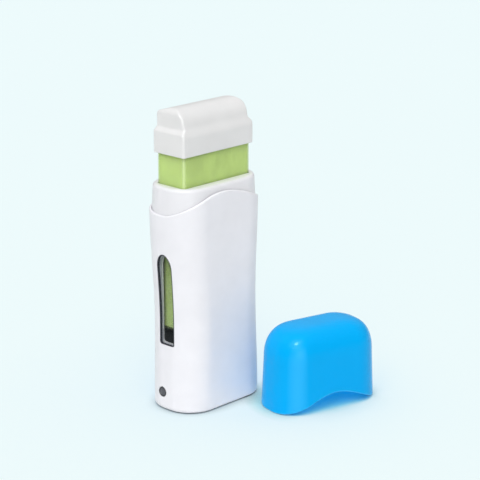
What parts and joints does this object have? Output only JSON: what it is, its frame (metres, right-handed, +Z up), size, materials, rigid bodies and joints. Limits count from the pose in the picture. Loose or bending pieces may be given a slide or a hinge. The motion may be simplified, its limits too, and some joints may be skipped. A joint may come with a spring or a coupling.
{
  "type": "wax heater",
  "caption": "Hand-held heater for a flat roll-on wax cartridge, with a drawn-in casing, a window, an indicator lamp, and a domed lid that stands beside it.",
  "frame": {"origin": "middle of the heater's base rest face, below the middle of the neck", "axes": "+Z up, X along the wide faces with the window on -X, front wide face towards -Y"},
  "size_m": [0.1147, 0.0969, 0.1821],
  "materials": {
    "casing_white": "satin moulded white",
    "neck_white": "satin moulded white",
    "cap_white": "soft satin grey-white",
    "lid_blue": "glossy translucent blue",
    "window_smoke": "smoked clear plastic",
    "lamp_lens": "smoked grey lens",
    "led_red": "clear red",
    "bottle_clear": "clear, tinted by the wax behind it",
    "wax_green": "smooth opaque wax",
    "liner_black": "dark heat-proof plastic",
    "inlet_black": "fine matt",
    "aluminium": "rolled sheet",
    "steel": "plated",
    "pin_brass": "nickel-tinted brass",
    "ceramic": "fired ceramic",
    "board_green": "coated laminate",
    "wire_brown": "insulated wire",
    "wire_blue": "insulated wire"
  },
  "bodies": {
    "heater": {"body_shell": "casing_white", "neck_collar": "neck_white", "window_lens": "window_smoke", "indicator_lens": "lamp_lens", "indicator_led": "led_red", "base_plate": "casing_white", "chamber_liner": "liner_black", "thermal_fuse": "steel", "grip_spring": "steel", "circuit_board": "board_green", "led_resistor": "ceramic", "power_inlet": "inlet_black", "base_screw_1": "steel", "base_screw_2": "steel", "base_screw_3": "steel", "base_screw_4": "steel", "heater_plate_front": "aluminium", "ptc_heater_front": "ceramic", "heater_spring_front": "steel", "heater_plate_back": "aluminium", "ptc_heater_back": "ceramic", "heater_spring_back": "steel", "heater_wire_front": "wire_brown", "heater_wire_back": "wire_blue", "supply_wire_a": "wire_brown", "supply_wire_b": "wire_blue", "inlet_pin_a": "pin_brass", "inlet_pin_b": "pin_brass"},
    "cartridge": {"cartridge_bottle": "bottle_clear", "wax_fill": "wax_green", "roller_head": "cap_white"},
    "roller": {"wax_roller": "cap_white"},
    "cap": {"cartridge_cap": "cap_white"},
    "lid": {"lid": "lid_blue"}
  },
  "joints": [
    {"name": "cartridge_slide", "type": "slide", "parent": "heater", "child": "cartridge", "axis": [0, 0, 1], "range_m": [-0.018, 0.1]},
    {"name": "roller_spin", "type": "hinge", "parent": "cartridge", "child": "roller", "pos_m": [0, 0, 0.1734], "axis": [1, 0, 0], "continuous": true},
    {"name": "cap_slide", "type": "slide", "parent": "cartridge", "child": "cap", "axis": [0, 0, 1], "range_m": [0, 0.035]},
    {"name": "lid_lift", "type": "slide", "parent": "heater", "child": "lid", "axis": [0, 0, 1], "range_m": [0, 0.12]}
  ]
}
